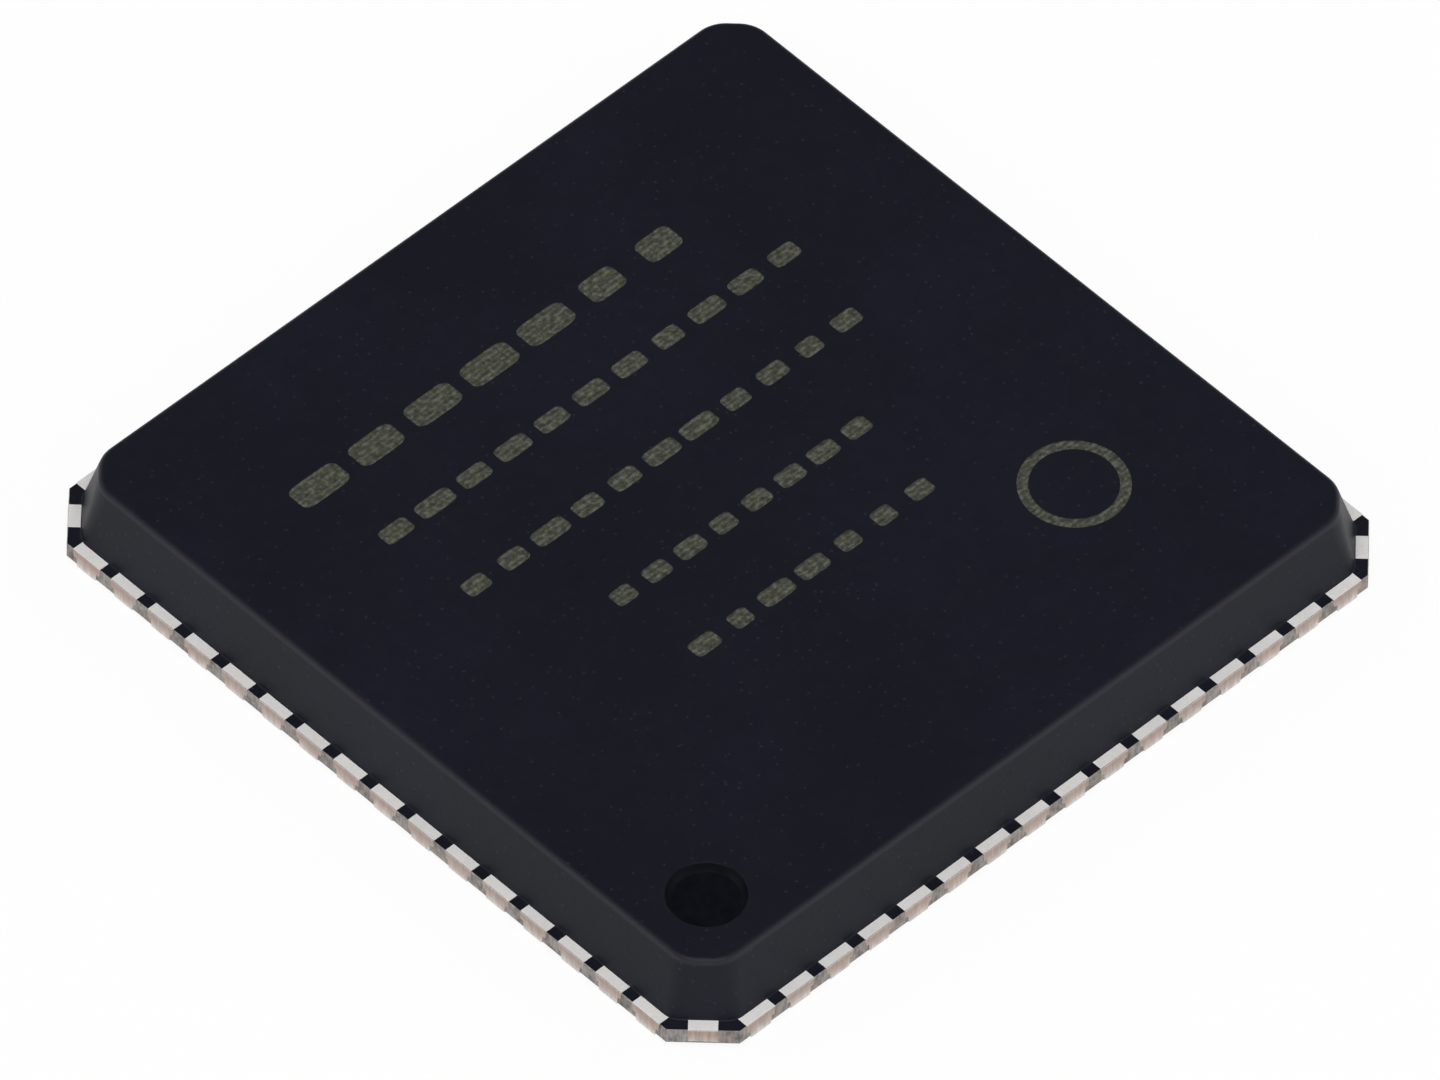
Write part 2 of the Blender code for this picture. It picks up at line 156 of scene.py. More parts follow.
class MarkingSizes(bpy.types.PropertyGroup):
    depth: length("Depth", "Depth of the laser's burn", 0.000008)
    ring_radius: length("Ring", "Middle radius of the plain ring", 0.00048)
    ring_line: length("Ring line", "Width of the ring's line", 0.00011)


class Finishes(bpy.types.PropertyGroup):
    resin: colour("Resin", "Carbon-filled epoxy moulding compound", "#10121D")
    cut_resin: colour("Cut resin", "Punched side of the moulding compound", "#98928D")
    laser: colour("Laser marking", "Burnt moulding compound", "#42443A")
    tin: colour("Tin", "Matte electroplated tin", "#F4F2EF")
    copper: colour("Copper", "Punched copper with tin dragged over it", "#BFB2AA")
    gold: colour("Gold", "Drawn gold wire", "#E8C070")
    silicon: colour("Silicon", "Passivated silicon", "#4C5163")
    adhesive: colour("Adhesive", "Silver-filled epoxy", "#A3A3A0")


class StageSettings(bpy.types.PropertyGroup):
    distance: length("Distance", "Camera to the chip", 0.3238)
    lens: FloatProperty(name="Lens", description="Focal length for a 36 mm wide sensor, in mm",
                        default=874.3, min=1.0)
    azimuth: slant("Azimuth", "Camera's turn round the chip", -44.365)
    elevation: slant("Elevation", "Camera's height above the board's plane", 49.289)
    roll: slant("Roll", "Camera's turn about its own axis", 0.917)
    floor: colour("Floor", "Pale floor and backdrop", "#FEFEFE")


SETTINGS = {
    "chip_body": BodySizes,
    "chip_terminals": TerminalSizes,
    "chip_wires": WireSizes,
    "chip_marking": MarkingSizes,
    "chip_finishes": Finishes,
    "chip_stage": StageSettings,
}


def feed(tree, socket, value):
    """Sets an input, or links a node's first output or another socket to it."""
    if isinstance(value, bpy.types.Node):
        value = value.outputs[0]
    if isinstance(value, bpy.types.NodeSocket):
        tree.links.new(value, socket)
    else:
        socket.default_value = value


def add_node(tree, kind, inputs=None, stops=(), **settings):
    """Adds a node. Settings are its own, each input is a value or what is linked to it, and stops are
    the places of a colour ramp with their greys or colours."""
    node = tree.nodes.new(kind)
    for name, value in settings.items():
        setattr(node, name, value)
    for key, value in (inputs or {}).items():
        feed(tree, node.inputs[key], value)
    for index, (place, value) in enumerate(stops):
        elements = node.color_ramp.elements
        if index == 0:
            elements.remove(elements[1])
        element = elements.new(place) if index else elements[0]
        element.position = place
        element.color = value if isinstance(value, tuple) else (value, value, value, 1.0)
    return node


def new_material(name, **constants):
    """A material with its shader, and Object coordinates to lay patterns by."""
    material = bpy.data.materials.new(name)
    material.use_nodes = True
    tree = material.node_tree
    shader = tree.nodes["Principled BSDF"]
    for key, value in constants.items():
        shader.inputs[key.replace("_", " ")].default_value = value
    return material, tree, shader, add_node(tree, "ShaderNodeTexCoord").outputs["Object"]


def height_share(tree, place, low, high):
    """How far up a point lies between two heights, from 0 to 1."""
    height = add_node(tree, "ShaderNodeSeparateXYZ", {0: place}).outputs["Z"]
    return add_node(tree, "ShaderNodeMapRange", {"Value": height, "From Min": low, "From Max": high})


def uneven(tree, place, size, detail, *stops):
    """Values that wander in patches of a size in millimetres, by stops over the noise's level."""
    patches = add_node(tree, "ShaderNodeTexNoise",
                       {"Vector": place, "Scale": per_mm(size), "Detail": detail})
    return add_node(tree, "ShaderNodeValToRGB", {"Fac": patches}, stops)


def drag_marks(tree, place, size, squeeze, detail=2.0):
    """Marks of a width in millimetres that are drawn out upright, as a punch leaves them."""
    upright = add_node(tree, "ShaderNodeMapping", {"Vector": place, "Scale": (1.0, 1.0, squeeze)})
    return add_node(tree, "ShaderNodeTexNoise",
                    {"Vector": upright, "Scale": per_mm(size), "Detail": detail})


def dress(tree, shader, base, tones=(), roughness=None, relief=None):
    """Gives the shader its colour with the tones multiplied in, and its roughness and relief."""
    for tone in tones:
        base = add_node(tree, "ShaderNodeMix", {0: 1.0, 6: base, 7: tone}, data_type="RGBA",
                        blend_type="MULTIPLY").outputs[2]
    for key, value in (("Base Color", base), ("Roughness", roughness), ("Normal", relief)):
        if value is not None:
            feed(tree, shader.inputs[key], value)


def moulded_compound(finishes):
    """Epoxy moulding compound from a spark-eroded cavity: near black, matt, faintly grainy, with a few
    pale specks where silica filler lies at the skin."""
    material, tree, shader, place = new_material("epoxy_moulding_compound", Specular_IOR_Level=0.17,
                                                 IOR=1.55)
    cloud = uneven(tree, place, 1.6, 3.0, (0.3, 0.86), (0.7, 1.14))
    resin = add_node(tree, "ShaderNodeMix", {0: 1.0, 6: opaque(finishes.resin), 7: cloud},
                     data_type="RGBA", blend_type="MULTIPLY").outputs[2]
    # Filler grains are 5 to 50 micrometres wide; the largest, about 40, are the ones drawn.
    grains = add_node(tree, "ShaderNodeTexVoronoi", {"Vector": place, "Scale": per_mm(0.11)})
    specks = add_node(tree, "ShaderNodeValToRGB", {"Fac": grains}, ((0.0, 0.14), (0.16, 0.0)))
    speckled = add_node(tree, "ShaderNodeMix", {0: specks, 6: resin, 7: linear("#6A6A70")},
                        data_type="RGBA").outputs[2]
    # Painted highlight: the round between the walls and the top is painted a little paler, as if it caught
    # the light.
    edge = bpy.context.scene.chip_body.edge_radius
    level = height_share(tree, place, PACKAGE_TOP - 1.3 * edge, PACKAGE_TOP)
    painted_ridge_highlight = add_node(tree, "ShaderNodeValToRGB", {"Fac": level},
                      ((0.1, 0.0), (0.5, 1.0), (0.7, 1.0), (0.97, 0.0)))
    skin = add_node(tree, "ShaderNodeMix", {0: painted_ridge_highlight, 6: speckled, 7: linear("#25252D")},
                    data_type="RGBA").outputs[2]
    # Spark erosion leaves craters of about 20 micrometres, drawn twice as wide so that they show.
    craters = add_node(tree, "ShaderNodeTexNoise", {
        "Vector": place, "Scale": per_mm(0.042), "Detail": 3.0, "Roughness": 0.6})
    relief = add_node(tree, "ShaderNodeBump", {"Height": craters, "Distance": 0.0000032, "Strength": 0.8})
    dull = uneven(tree, place, 0.16, 2.0, (0.3, 0.42), (0.7, 0.46))
    dress(tree, shader, skin, (), dull, relief)
    return material


def polished_compound_painted_shade(finishes):
    """The same resin against the polished end of the pin that makes the dimple: smoother, with painted
    shade that darkens its colour in the recess.
    """
    material, tree, shader, place = new_material("dimple_moulding_compound", Specular_IOR_Level=0.09,
                                                 IOR=1.55)
    # Painted shade: the recess's colour is darkened to under half of the resin's.
    base = opaque(0.45 * value for value in finishes.resin)
    tone = uneven(tree, place, 0.2, 3.0, (0.3, 0.8), (0.7, 1.2))
    # The pin's turning marks, 5 micrometres apart, are drawn as a faint 30 micrometre ripple.
    ripple = add_node(tree, "ShaderNodeTexNoise", {"Vector": place, "Scale": per_mm(0.03)})
    relief = add_node(tree, "ShaderNodeBump", {"Height": ripple, "Distance": 0.000001, "Strength": 0.6})
    dull = uneven(tree, place, 0.1, 2.0, (0.3, 0.38), (0.7, 0.5))
    dress(tree, shader, base, [tone], dull, relief)
    return material


def cut_compound(finishes):
    """Moulding compound where the punch broke it: grey, dusty and torn, with fine upright drag marks."""
    material, tree, shader, place = new_material("punched_moulding_compound", Specular_IOR_Level=0.3,
                                                 IOR=1.55, Roughness=0.85)
    patches = add_node(tree, "ShaderNodeTexNoise", {
        "Vector": place, "Scale": per_mm(0.13), "Detail": 4.0, "Roughness": 0.65})
    dust = add_node(tree, "ShaderNodeValToRGB", {"Fac": patches}, (
        (0.3, linear("#6B6662")), (0.55, opaque(finishes.cut_resin)), (0.72, linear("#A09B95"))))
    # Drag marks are about 5 micrometres wide and are drawn at 25 so that they show.
    drag = drag_marks(tree, place, 0.025, 0.2)
    streaks = add_node(tree, "ShaderNodeValToRGB", {"Fac": drag}, ((0.35, 0.75), (0.65, 1.15)))
    torn = add_node(tree, "ShaderNodeBump", {"Height": patches, "Distance": 0.000012, "Strength": 0.8})
    relief = add_node(tree, "ShaderNodeBump", {
        "Height": drag, "Distance": 0.000003, "Strength": 0.7, "Normal": torn})
    dress(tree, shader, dust, [streaks], relief=relief)
    return material


def laser_compound(finishes):
    """Moulding compound burnt by the marking laser: ash grey with an olive cast, in uneven melted spots
    along close scan lines."""
    material, tree, shader, place = new_material("laser_marked_moulding_compound", Specular_IOR_Level=0.2,
                                                 Roughness=0.8)
    # Scan lines are 50 to 60 micrometres apart, drawn at their real pitch; one turn of the wave
    # texture at scale 1 is tau / 20 metres.
    lines = add_node(tree, "ShaderNodeTexWave", {
        "Vector": place, "Scale": math.tau / 20 * per_mm(0.055), "Distortion": 3.0, "Detail": 2.0,
        "Detail Scale": 3.0}, bands_direction="Y").outputs["Fac"]
    spots = add_node(tree, "ShaderNodeTexNoise", {
        "Vector": place, "Scale": per_mm(0.06), "Detail": 3.0, "Roughness": 0.6})
    both = add_node(tree, "ShaderNodeMath", {0: lines, 1: 0.12, 2: spots}, operation="MULTIPLY_ADD")
    burn = add_node(tree, "ShaderNodeValToRGB", {"Fac": both}, (
        (0.36, linear("#2E2F28")), (0.56, opaque(finishes.laser)), (0.76, linear("#5E6056"))))
    relief = add_node(tree, "ShaderNodeBump", {"Height": both, "Distance": 0.000005, "Strength": 0.8})
    dress(tree, shader, burn, relief=relief)
    return material


def matte_tin(finishes):
    """Matte tin electroplated on copper: pale silver with a fine crystalline grain that scatters light
    nearly as paint does."""
    material, tree, shader, place = new_material("matte_tin_plate", Metallic=0.15)
    # Tin grains are 3 to 5 micrometres wide and are drawn at 18 so that they show.
    grain = add_node(tree, "ShaderNodeTexVoronoi", {"Vector": place, "Scale": per_mm(0.018)})
    fine = add_node(tree, "ShaderNodeValToRGB", {"Fac": grain}, ((0.1, 1.0), (0.7, 0.93)))
    tarnish = uneven(tree, place, 0.4, 3.0, (0.35, 0.93), (0.65, 1.0))
    dull = uneven(tree, place, 0.06, 3.0, (0.3, 0.34), (0.7, 0.48))
    relief = add_node(tree, "ShaderNodeBump", {"Height": grain, "Distance": 0.0000012, "Strength": 0.6})
    dress(tree, shader, opaque(finishes.tin), [fine, tarnish], dull, relief)
    return material


def cut_copper(finishes):
    """Copper where the punch cut it: pinkish, dragged upright, greyer lower down where tin is smeared."""
    material, tree, shader, place = new_material("punched_copper", Metallic=1.0)
    ragged = drag_marks(tree, place, 0.07, 0.4, 3.0)
    level = height_share(tree, place, 0.0, LEADFRAME_TOP)
    edge = add_node(tree, "ShaderNodeMath", {0: ragged, 1: 0.5, 2: level}, operation="MULTIPLY_ADD")
    smear = add_node(tree, "ShaderNodeValToRGB", {"Fac": edge}, (
        (0.35, linear("#D6D1CC")), (0.62, opaque(finishes.copper)), (1.0, linear("#B09C92"))))
    # Drag marks are about 5 micrometres wide and are drawn at 22 so that they show.
    drag = drag_marks(tree, place, 0.022, 0.12)
    streaks = add_node(tree, "ShaderNodeValToRGB", {"Fac": drag}, ((0.35, 0.82), (0.65, 1.08)))
    dull = add_node(tree, "ShaderNodeValToRGB", {"Fac": drag}, ((0.3, 0.36), (0.7, 0.52)))
    relief = add_node(tree, "ShaderNodeBump", {"Height": drag, "Distance": 0.000002, "Strength": 0.7})
    dress(tree, shader, smear, [streaks], dull, relief)
    return material


def drawn_gold(finishes):
    """Soft gold wire drawn through a die: warm and bright, with a faintly uneven polish."""
    material, tree, shader, place = new_material("drawn_gold_wire", Metallic=1.0)
    tone = uneven(tree, place, 0.03, 2.0, (0.35, 0.88), (0.65, 1.0))
    polish = uneven(tree, place, 0.012, 2.0, (0.3, 0.16), (0.7, 0.28))
    dress(tree, shader, opaque(finishes.gold), [tone], polish)
    return material


def passivated_silicon(finishes):
    """Silicon under clear nitride: blue-grey and glossy, with the faint blocks of its circuits."""
    material, tree, shader, place = new_material("passivated_silicon", Metallic=0.4, Roughness=0.2)
    # Circuit blocks are 0.2 to 0.6 mm wide on a chip like this.
    blocks = add_node(tree, "ShaderNodeTexVoronoi", {"Vector": place, "Scale": per_mm(0.42)},
                      distance="CHEBYCHEV").outputs["Color"]
    tint = add_node(tree, "ShaderNodeMix", {0: 0.3, 6: opaque(finishes.silicon), 7: blocks},
                    data_type="RGBA", blend_type="SOFT_LIGHT").outputs[2]
    lanes = add_node(tree, "ShaderNodeTexBrick", {
        "Vector": place, "Scale": per_mm(0.35), "Mortar Size": 0.03,
        "Color1": (1, 1, 1, 1), "Color2": (0.85, 0.85, 0.85, 1), "Mortar": (0.55, 0.55, 0.55, 1)})
    dress(tree, shader, tint, [lanes])
    return material


def silver_adhesive(finishes):
    """Cured epoxy full of silver flakes: pale grey, dull, glinting where a flake lies flat."""
    material, tree, shader, place = new_material("silver_filled_epoxy", Metallic=0.35)
    # Flakes are 5 to 20 micrometres wide; the largest are drawn.
    flakes = add_node(tree, "ShaderNodeTexVoronoi", {"Vector": place, "Scale": per_mm(0.02)})
    tone = add_node(tree, "ShaderNodeValToRGB", {"Fac": flakes}, ((0.2, 1.15), (0.6, 0.8)))
    dull = add_node(tree, "ShaderNodeValToRGB", {"Fac": flakes}, ((0.2, 0.35), (0.6, 0.65)))
    relief = add_node(tree, "ShaderNodeBump", {"Height": flakes, "Distance": 0.000003, "Strength": 0.6})
    dress(tree, shader, opaque(finishes.adhesive), [tone], dull, relief)
    return material


@functools.cache
def chip_material(maker):
    """The material of a finish, made once."""
    return maker(bpy.context.scene.chip_finishes)


# What a 45 degree chamfer's leg loses when its outline is drawn in by 1. It is also a leg over the
# radius at which the rounds at both ends of the chamfer meet in one round corner.
CHAMFER_LEG = 2 - math.sqrt(2)
# Outer edges of the metal that turn by more than this are worn round.
WORN_ANGLE = math.radians(40)
# Metal shades smooth across edges that turn by less than this, in degrees, so its flats stay flat.
METAL_SMOOTH = 20.0


def cut_square(half, leg, radius, z, steps):
    """A level square with chamfered corners and a round at both ends of each chamfer, which runs
    counter-clockwise from its +X side."""
    near = half - radius
    far = half - leg - radius * math.tan(math.pi / 8)
    ring = []
    for corner in range(4):
        turn = Matrix.Rotation(corner * math.pi / 2, 3, "Z")
        for start, x, y in ((0.0, near, far), (math.pi / 4, far, near)):
            for step in range(steps + 1):
                angle = start + math.pi / 4 * step / steps
                ring.append(turn @ Vector((x + radius * math.cos(angle), y + radius * math.sin(angle), z)))
    return ring


def disc(radius, z, centre, steps):
    """A level circle round a place on the diagonal from the -X -Y corner."""
    angles = [math.tau * step / steps for step in range(steps)]
    return [Vector((centre + radius * math.cos(a), centre + radius * math.sin(a), z)) for a in angles]


def wear(solid, size):
    """Rounds the sharp outer edges of a metal piece."""
    sharp = [edge for edge in solid.edges if edge.calc_face_angle_signed() > WORN_ANGLE]
    bmesh.ops.bevel(solid, geom=sharp, offset=size, segments=2, affect="EDGES", clamp_overlap=True)


def loft(solid, rings, materials=None):
    """Closes level rings, the lowest first, into one solid. materials holds a slot for each band."""
    loops = [[solid.verts.new(point) for point in ring] for ring in rings]
    for band, (lower, upper) in enumerate(zip(loops, loops[1:])):
        for index in range(len(lower)):
            after = (index + 1) % len(lower)
            face = solid.faces.new((lower[index], lower[after], upper[after], upper[index]))
            face.material_index = materials[band] if materials else 0
    solid.faces.new(reversed(loops[0]))
    solid.faces.new(loops[-1])


def finish_mesh(mesh, angle=30.0):
    """Smooth shading, kept sharp where faces meet at more than an angle."""
    mesh.shade_smooth()
    mesh.set_sharp_from_angle(angle=math.radians(angle))


def new_object(name, data):
    piece = bpy.data.objects.new(name, data)
    bpy.context.scene.collection.objects.link(piece)
    return piece


def add_object(name, solid, makers):
    """A new object of a solid, with the material of each maker in a slot of its own."""
    mesh = bpy.data.meshes.new(name)
    solid.to_mesh(mesh)
    solid.free()
    for maker in makers:
        mesh.materials.append(chip_material(maker))
    return new_object(name, mesh)


def apply_modifiers(piece):
    """Turns what the modifiers make into the piece's own mesh."""
    graph = bpy.context.evaluated_depsgraph_get()
    mesh = bpy.data.meshes.new_from_object(piece.evaluated_get(graph), depsgraph=graph)
    piece.modifiers.clear()
    old = piece.data
    piece.data = mesh
    bpy.data.meshes.remove(old)
    mesh.name = piece.name


def remove_object(piece):
    mesh = piece.data
    bpy.data.objects.remove(piece)
    bpy.data.meshes.remove(mesh)


def cut(piece, cutter):
    """Takes a cutter out of a piece; the cut faces keep the cutter's material."""
    modifier = piece.modifiers.new(cutter.name, "BOOLEAN")
    modifier.operation = "DIFFERENCE"
    modifier.solver = "EXACT"
    modifier.material_mode = "TRANSFER"
    modifier.object = cutter


def keep_piece(piece, nodes=()):
    """Hangs a finished piece on the part."""
    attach(piece, "root")
    if nodes:
        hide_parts(*nodes)


# The kind of node socket that takes a value.
SOCKETS = {int: "Int", float: "Float", tuple: "Vector", bpy.types.Object: "Object",
           bpy.types.Material: "Material"}


def grow(name, lay, values):
    """The plain mesh that a geometry node tree makes of named values. lay adds the tree's nodes and
    returns the last."""
    tree = bpy.data.node_groups.new(name, "GeometryNodeTree")
    tree.interface.new_socket("Geometry", in_out="OUTPUT", socket_type="NodeSocketGeometry")
    keys = {}
    for label, value in values.items():
        kind = "NodeSocket" + SOCKETS[type(value)]
        keys[label] = tree.interface.new_socket(label, in_out="INPUT", socket_type=kind).identifier
    add_node(tree, "NodeGroupOutput", {0: lay(tree, add_node(tree, "NodeGroupInput").outputs)})
    piece = new_object(name, bpy.data.meshes.new(name))
    modifier = piece.modifiers.new(name, "NODES")
    modifier.node_group = tree
    for label, value in values.items():
        modifier[keys[label]] = value
    apply_modifiers(piece)
    bpy.data.node_groups.remove(tree)
    return piece


def around(tree, parts):
    """Joins the parts of a row, repeats it on the four sides of the package and makes it real."""
    row = add_node(tree, "GeometryNodeJoinGeometry")
    for part in parts:
        feed(tree, row.inputs[0], part)
    whole = add_node(tree, "GeometryNodeGeometryToInstance", {0: row})
    side = add_node(tree, "GeometryNodeInputIndex")
    turn = add_node(tree, "ShaderNodeVectorMath", {0: (0.0, 0.0, math.pi / 2), "Scale": side},
                    operation="SCALE")
    points = add_node(tree, "GeometryNodePoints", {"Count": 4})
    sides = add_node(tree, "GeometryNodeInstanceOnPoints",
                     {"Points": points, "Instance": whole, "Rotation": turn})
    return add_node(tree, "GeometryNodeRealizeInstances", {"Geometry": sides})


class CHIP_OT_body(bpy.types.Operator):
    """Makes the moulded body: punched ledge, drafted cap, pin-1 dimple and shallow laser marking"""
    bl_idname = "chip.body"
    bl_label = "Moulded Body"

    # Faces along half a corner, the top edge, the foot's fillet and the dimple's rim.
    CORNER_STEPS = 10
    EDGE_STEPS = 8
    FILLET_STEPS = 4
    DIMPLE_STEPS = 72

    def ring(self, base, inset, z):
        """An outline of half width, chamfer leg and round, drawn in by an inset."""
        half, leg, radius = base
        return cut_square(half - inset, leg - inset * CHAMFER_LEG, radius - inset, z, self.CORNER_STEPS)

    def wall(self, sizes, height):
        """Half width, chamfer leg and round of the cap at a height above its foot."""
        share = height / (PACKAGE_TOP - LEADFRAME_TOP)
        return (PACKAGE_HALF - sizes.ledge_width - height * math.tan(sizes.draft),
                sizes.foot_chamfer + share * (sizes.top_chamfer - sizes.foot_chamfer),
                sizes.foot_blend + share * (sizes.top_blend - sizes.foot_blend))

    def rings(self, sizes):
        """The body's level outlines from the underside up, and the material slot of each band."""
        punched = (PACKAGE_HALF, 2 * PACKAGE_HALF - CORNER_REACH * math.sqrt(2), sizes.punch_radius)
        ledge = LEADFRAME_TOP - sizes.ledge_drop
        inset = sizes.side_inset
        worn = sizes.cut_edge
        rings = [
            self.ring(punched, inset + worn, sizes.standoff),
            self.ring(punched, inset, sizes.standoff + worn),
            self.ring(punched, inset, ledge - worn),
            self.ring(punched, inset + worn, ledge),
        ]
        slots = [1, 1, 1]
        foot = self.wall(sizes, 0.0)
        fillet = sizes.foot_fillet
        for step in range(self.FILLET_STEPS + 1):
            angle = (math.pi / 2 - sizes.draft) * step / self.FILLET_STEPS
            rise = fillet * (1 - math.cos(angle))
            rings.append(self.ring(foot, -fillet * (1 - math.sin(angle)), ledge + rise))
        centre_height = PACKAGE_TOP - LEADFRAME_TOP - sizes.edge_radius
        wall = self.wall(sizes, centre_height)
        reach = sizes.edge_radius / math.cos(sizes.draft)
        for step in range(self.EDGE_STEPS + 1):
            angle = sizes.draft + (math.pi / 2 - sizes.draft) * step / self.EDGE_STEPS
            height = LEADFRAME_TOP + centre_height + sizes.edge_radius * math.sin(angle)
            rings.append(self.ring(wall, reach - sizes.edge_radius * math.cos(angle), height))
        rings.append(self.ring(wall, reach + sizes.edge_radius, PACKAGE_TOP))
        slots += [0] * (len(rings) - 1 - len(slots))
        return rings, slots

    def dimple(self, sizes):
        """Shallow recess with a round rim and a fillet round its floor."""
        centre = -sizes.dimple_place
        radius = sizes.dimple_width / 2
        floor = PACKAGE_TOP - sizes.dimple_depth
        soft = sizes.dimple_depth / 4
        foot = radius - sizes.dimple_lean
        # Reach and height of the floor, its fillet, the wall, the rim and the air above.
        profile = [
            (foot - 2 * soft, floor), (foot - soft, floor + soft * 0.18),
            (foot - soft * 0.25, floor + soft), (radius - soft * 0.45, PACKAGE_TOP - soft),
            (radius - soft * 0.1, PACKAGE_TOP - soft * 0.3),
            (radius + soft * 0.4, PACKAGE_TOP), (radius + soft, PACKAGE_TOP + soft)]
        solid = bmesh.new()
        loft(solid, [disc(reach, z, centre, self.DIMPLE_STEPS) for reach, z in profile])
        return add_object("dimple_form", solid, [polished_compound_painted_shade])

    def execute(self, context):
        sizes = context.scene.chip_body
        solid = bmesh.new()
        loft(solid, *self.rings(sizes))
        body = add_object("moulded_body", solid, [moulded_compound, cut_compound])
        marks = marking_form(context.scene.chip_marking)
        dimple = self.dimple(sizes)
        cut(body, dimple)
        cut(body, marks)
        apply_modifiers(body)
        remove_object(dimple)
        remove_object(marks)
        finish_mesh(body.data)
        keep_piece(body, ["mould_body"])
        return {"FINISHED"}


# Rows of plain dashes that stand where a chip is marked: left end, middle along Y, length, dash height,
# number of dashes and seed of their lengths. Millimetres on the top face.
DASH_ROWS = (
    (-3.05, 2.53, 5.05, 0.30, 7, 3),
    (-2.80, 1.64, 5.45, 0.20, 11, 5),
    (-2.70, 0.66, 5.20, 0.20, 11, 8),
    (-1.77, -0.36, 3.40, 0.20, 8, 2),
    (-1.65, -1.30, 3.20, 0.20, 7, 9),
)
# Shortest and longest dash, as shares of its cell in the row, and the round of its corners, as a share
# of its length and height.
DASH_SHARES = (0.5, 0.85)
DASH_ROUND = 0.22
RING_PLACE = (2.41, -2.23)
RING_STEPS = 64


def dash_prototype(depth):
    """A plate one unit long and high with round corners, as deep as the burn and open to the sky."""
    solid = bmesh.new()
    loft(solid, [cut_square(0.5, DASH_ROUND * CHAMFER_LEG, DASH_ROUND, z, 2) for z in (-depth, depth)])
    return add_object("dash_form", solid, [laser_compound])


def lay_dashes(tree, given):
    """One row of dashes of random lengths."""
    line = add_node(tree, "GeometryNodeMeshLine", {
        "Count": given["Count"], "Start Location": given["Start"], "Offset": given["Step"]})
    wide = add_node(tree, "FunctionNodeRandomValue",
                    {2: given["Shortest"], 3: given["Longest"], "Seed": given["Seed"]},
                    data_type="FLOAT").outputs[1]
    size = add_node(tree, "ShaderNodeCombineXYZ", {"X": wide, "Y": given["Height"], "Z": 1.0})
    dash = add_node(tree, "GeometryNodeObjectInfo", {"Object": given["Dash"]}).outputs["Geometry"]
    row = add_node(tree, "GeometryNodeInstanceOnPoints", {"Points": line, "Instance": dash, "Scale": size})
    real = add_node(tree, "GeometryNodeRealizeInstances", {"Geometry": row})
    return add_node(tree, "GeometryNodeSetMaterial", {"Geometry": real, "Material": given["Finish"]})


def marking_form(sizes):
    """The cutter of the laser marking: rows of plain dashes and one plain ring."""
    dash = dash_prototype(sizes.depth)
    burnt = chip_material(laser_compound)
    whole = bmesh.new()
    for left, middle, row_length, height, count, seed in DASH_ROWS:
        cell = row_length / count / 1000
        row = grow("dash_row", lay_dashes, {
            "Dash": dash, "Start": (left / 1000 + cell / 2, middle / 1000, PACKAGE_TOP),
            "Step": (cell, 0.0, 0.0), "Shortest": DASH_SHARES[0] * cell, "Longest": DASH_SHARES[1] * cell,
            "Height": height / 1000, "Count": count, "Seed": seed, "Finish": burnt})
        whole.from_mesh(row.data)
        remove_object(row)
    remove_object(dash)
    inner = sizes.ring_radius - sizes.ring_line / 2
    outer = sizes.ring_radius + sizes.ring_line / 2
    centre = Vector((RING_PLACE[0] / 1000, RING_PLACE[1] / 1000, PACKAGE_TOP))
    corners = ((inner, -sizes.depth), (outer, -sizes.depth), (outer, sizes.depth), (inner, sizes.depth))
    turns = []
    for step in range(RING_STEPS):
        angle = math.tau * step / RING_STEPS
        outward = Vector((math.cos(angle), math.sin(angle), 0.0))
        turns.append([whole.verts.new(centre + outward * r + Vector((0, 0, z))) for r, z in corners])
    for here, after in zip(turns, turns[1:] + turns[:1]):
        for side in range(4):
            other = (side + 1) % 4
            whole.faces.new((here[side], here[other], after[other], after[side]))
    bmesh.ops.recalc_face_normals(whole, faces=whole.faces)
    return add_object("marking_form", whole, [laser_compound])


# A terminal's face whose normal lies further along -Y than this is its punched end.
END_FACING = -0.9
TIP_STEPS = 8


def terminal_outline(width, reach, z):
    """A terminal's level section, from the package's side round its inner end and back."""
    radius = width / 2
    points = [Vector((radius, 0.0, z))]
    for step in range(TIP_STEPS + 1):
        angle = math.pi * step / TIP_STEPS
        points.append(Vector((radius * math.cos(angle), reach - radius + radius * math.sin(angle), z)))
    points.append(Vector((-radius, 0.0, z)))
    return points


